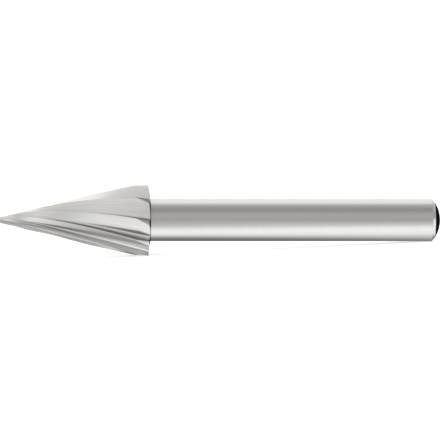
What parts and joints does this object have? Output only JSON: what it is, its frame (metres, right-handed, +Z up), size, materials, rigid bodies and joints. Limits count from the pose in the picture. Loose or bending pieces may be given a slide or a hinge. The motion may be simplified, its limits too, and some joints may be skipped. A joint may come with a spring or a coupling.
{
  "type": "rotary burr",
  "caption": "One-piece rotary burr with a fluted pointed-cone head on a plain cylindrical shank, lying at rest.",
  "frame": {"origin": "on the floor under the middle of the burr's bounding box, with the burr lying at rest on the rear corners of two neighbouring teeth and on the lower edge of the shank's end", "axes": "+X runs along the burr from the nose of the head towards the shank's end, +Z is up, and the burr's own axis falls towards the shank by about 2.8 degrees"},
  "size_m": [0.0624, 0.0102, 0.01],
  "materials": {
    "ground_steel": "ground, satin along the shank and finely ground on the teeth, with a dark scaled shank end"
  },
  "bodies": {
    "root": {"burr": "ground_steel"}
  },
  "joints": []
}
